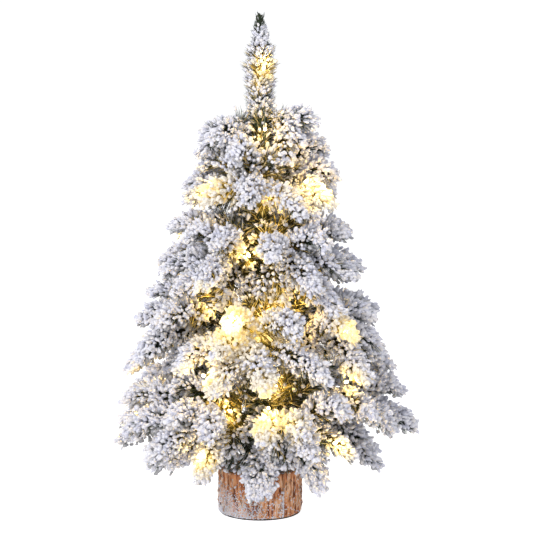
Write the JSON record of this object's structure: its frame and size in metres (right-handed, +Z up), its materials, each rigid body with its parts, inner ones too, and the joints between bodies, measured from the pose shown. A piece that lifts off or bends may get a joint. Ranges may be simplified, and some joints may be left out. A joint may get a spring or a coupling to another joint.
{
  "type": "artificial tabletop tree",
  "caption": "Snow-flocked, pre-lit tabletop tree with fold-up branches on a round bark-wrapped base with a battery bay underneath.",
  "frame": {"origin": "centre of the base's underside, on the surface that the tree stands on", "axes": "+Z up the trunk, -Y towards the pictured front, +X to the right seen from the front"},
  "size_m": [0.3651, 0.3572, 0.6],
  "materials": {
    "snow_foliage": "matte",
    "green_wire": "matte",
    "green_tape": "matte",
    "light_lead": "satin",
    "bark": "matte",
    "plaster": "matte",
    "felt": "matte",
    "black_plastic": "satin",
    "grey_plastic": "satin",
    "cell_sleeve": "satin",
    "board_green": "satin",
    "steel": "satin"
  },
  "bodies": {
    "base": {"base_core": "plaster", "bark_wrap": "bark", "foot_pad": "felt", "battery_tray": "black_plastic", "battery_1": "cell_sleeve", "battery_2": "cell_sleeve", "battery_3": "cell_sleeve", "driver_board": "board_green", "trunk_pole": "steel", "trunk_wrap": "green_tape", "trunk_lead": "light_lead", "leader_foliage": "snow_foliage"},
    "battery_door": {"battery_door": "black_plastic"},
    "switch_slider": {"switch_slider": "grey_plastic"},
    "branch_01": {"branch_01_stem": "green_wire", "branch_01_foliage": "snow_foliage"},
    "branch_02": {"branch_02_stem": "green_wire", "branch_02_foliage": "snow_foliage", "branch_02_lead": "light_lead"},
    "branch_03": {"branch_03_stem": "green_wire", "branch_03_foliage": "snow_foliage", "branch_03_lead": "light_lead"},
    "branch_04": {"branch_04_stem": "green_wire", "branch_04_foliage": "snow_foliage", "branch_04_lead": "light_lead"},
    "branch_05": {"branch_05_stem": "green_wire", "branch_05_foliage": "snow_foliage", "branch_05_lead": "light_lead"},
    "branch_06": {"branch_06_stem": "green_wire", "branch_06_foliage": "snow_foliage", "branch_06_lead": "light_lead"},
    "branch_07": {"branch_07_stem": "green_wire", "branch_07_foliage": "snow_foliage", "branch_07_lead": "light_lead"},
    "branch_08": {"branch_08_stem": "green_wire", "branch_08_foliage": "snow_foliage"},
    "branch_09": {"branch_09_stem": "green_wire", "branch_09_foliage": "snow_foliage", "branch_09_lead": "light_lead"},
    "branch_10": {"branch_10_stem": "green_wire", "branch_10_foliage": "snow_foliage"},
    "branch_11": {"branch_11_stem": "green_wire", "branch_11_foliage": "snow_foliage", "branch_11_lead": "light_lead"},
    "branch_12": {"branch_12_stem": "green_wire", "branch_12_foliage": "snow_foliage"},
    "branch_13": {"branch_13_stem": "green_wire", "branch_13_foliage": "snow_foliage"},
    "branch_14": {"branch_14_stem": "green_wire", "branch_14_foliage": "snow_foliage"},
    "branch_15": {"branch_15_stem": "green_wire", "branch_15_foliage": "snow_foliage", "branch_15_lead": "light_lead"},
    "branch_16": {"branch_16_stem": "green_wire", "branch_16_foliage": "snow_foliage", "branch_16_lead": "light_lead"},
    "branch_17": {"branch_17_stem": "green_wire", "branch_17_foliage": "snow_foliage"},
    "branch_18": {"branch_18_stem": "green_wire", "branch_18_foliage": "snow_foliage"}
  },
  "joints": [
    {"name": "battery_door_hinge", "type": "hinge", "parent": "base", "child": "battery_door", "pos_m": [-0.0318, 0, 0.0036], "axis": [0, 1, 0], "range_deg": [0, 95]},
    {"name": "switch_slide", "type": "slide", "parent": "base", "child": "switch_slider", "axis": [1, 0, 0], "range_m": [0, 0.004]},
    {"name": "branch_01_fold", "type": "hinge", "parent": "base", "child": "branch_01", "pos_m": [0.01014, 0.00107, 0.126], "axis": [0.1045, -0.9945, 0], "range_deg": [0, 60]},
    {"name": "branch_02_fold", "type": "hinge", "parent": "base", "child": "branch_02", "pos_m": [0.00177, 0.01005, 0.116], "axis": [0.9848, -0.1736, 0], "range_deg": [0, 60]},
    {"name": "branch_03_fold", "type": "hinge", "parent": "base", "child": "branch_03", "pos_m": [-0.00924, 0.00431, 0.128], "axis": [0.4226, 0.9063, 0], "range_deg": [0, 60]},
    {"name": "branch_04_fold", "type": "hinge", "parent": "base", "child": "branch_04", "pos_m": [-0.00721, -0.00721, 0.118], "axis": [-0.7071, 0.7071, 0], "range_deg": [0, 60]},
    {"name": "branch_05_fold", "type": "hinge", "parent": "base", "child": "branch_05", "pos_m": [0.00447, -0.00917, 0.122], "axis": [-0.8988, -0.4384, 0], "range_deg": [0, 60]},
    {"name": "branch_06_fold", "type": "hinge", "parent": "base", "child": "branch_06", "pos_m": [-0.00212, -0.00998, 0.216], "axis": [-0.9781, 0.2079, 0], "range_deg": [0, 55.2]},
    {"name": "branch_07_fold", "type": "hinge", "parent": "base", "child": "branch_07", "pos_m": [0.00985, -0.00264, 0.224], "axis": [-0.2588, -0.9659, 0], "range_deg": [0, 55.2]},
    {"name": "branch_08_fold", "type": "hinge", "parent": "base", "child": "branch_08", "pos_m": [0.00264, 0.00985, 0.21], "axis": [0.9659, -0.2588, 0], "range_deg": [0, 55.2]},
    {"name": "branch_09_fold", "type": "hinge", "parent": "base", "child": "branch_09", "pos_m": [-0.01005, 0.00177, 0.22], "axis": [0.1736, 0.9848, 0], "range_deg": [0, 55.2]},
    {"name": "branch_10_fold", "type": "hinge", "parent": "base", "child": "branch_10", "pos_m": [0.00541, -0.00865, 0.308], "axis": [-0.848, -0.5299, 0], "range_deg": [0, 49.2]},
    {"name": "branch_11_fold", "type": "hinge", "parent": "base", "child": "branch_11", "pos_m": [-0.00835, -0.00585, 0.298], "axis": [-0.5736, 0.8192, 0], "range_deg": [0, 49.2]},
    {"name": "branch_12_fold", "type": "hinge", "parent": "base", "child": "branch_12", "pos_m": [-0.00541, 0.00865, 0.31], "axis": [0.848, 0.5299, 0], "range_deg": [0, 49.2]},
    {"name": "branch_13_fold", "type": "hinge", "parent": "base", "child": "branch_13", "pos_m": [0.00865, 0.00541, 0.3], "axis": [0.5299, -0.848, 0], "range_deg": [0, 49.2]},
    {"name": "branch_14_fold", "type": "hinge", "parent": "base", "child": "branch_14", "pos_m": [-0.00142, -0.0101, 0.396], "axis": [-0.9903, 0.1392, 0], "range_deg": [0, 42]},
    {"name": "branch_15_fold", "type": "hinge", "parent": "base", "child": "branch_15", "pos_m": [0.00946, 0.00382, 0.402], "axis": [0.3746, -0.9272, 0], "range_deg": [0, 42]},
    {"name": "branch_16_fold", "type": "hinge", "parent": "base", "child": "branch_16", "pos_m": [-0.00804, 0.00628, 0.386], "axis": [0.6157, 0.788, 0], "range_deg": [0, 42]},
    {"name": "branch_17_fold", "type": "hinge", "parent": "base", "child": "branch_17", "pos_m": [0.01005, -0.00177, 0.472], "axis": [-0.1736, -0.9848, 0], "range_deg": [0, 30]},
    {"name": "branch_18_fold", "type": "hinge", "parent": "base", "child": "branch_18", "pos_m": [-0.0099, -0.00247, 0.462], "axis": [-0.2419, 0.9703, 0], "range_deg": [0, 30]}
  ],
  "couplings": [
    {"joint": "branch_02_fold", "follows": "branch_01_fold", "ratio": 1},
    {"joint": "branch_03_fold", "follows": "branch_01_fold", "ratio": 1},
    {"joint": "branch_04_fold", "follows": "branch_01_fold", "ratio": 1},
    {"joint": "branch_05_fold", "follows": "branch_01_fold", "ratio": 1},
    {"joint": "branch_06_fold", "follows": "branch_01_fold", "ratio": 0.92},
    {"joint": "branch_07_fold", "follows": "branch_01_fold", "ratio": 0.92},
    {"joint": "branch_08_fold", "follows": "branch_01_fold", "ratio": 0.92},
    {"joint": "branch_09_fold", "follows": "branch_01_fold", "ratio": 0.92},
    {"joint": "branch_10_fold", "follows": "branch_01_fold", "ratio": 0.82},
    {"joint": "branch_11_fold", "follows": "branch_01_fold", "ratio": 0.82},
    {"joint": "branch_12_fold", "follows": "branch_01_fold", "ratio": 0.82},
    {"joint": "branch_13_fold", "follows": "branch_01_fold", "ratio": 0.82},
    {"joint": "branch_14_fold", "follows": "branch_01_fold", "ratio": 0.7},
    {"joint": "branch_15_fold", "follows": "branch_01_fold", "ratio": 0.7},
    {"joint": "branch_16_fold", "follows": "branch_01_fold", "ratio": 0.7},
    {"joint": "branch_17_fold", "follows": "branch_01_fold", "ratio": 0.5},
    {"joint": "branch_18_fold", "follows": "branch_01_fold", "ratio": 0.5}
  ]
}
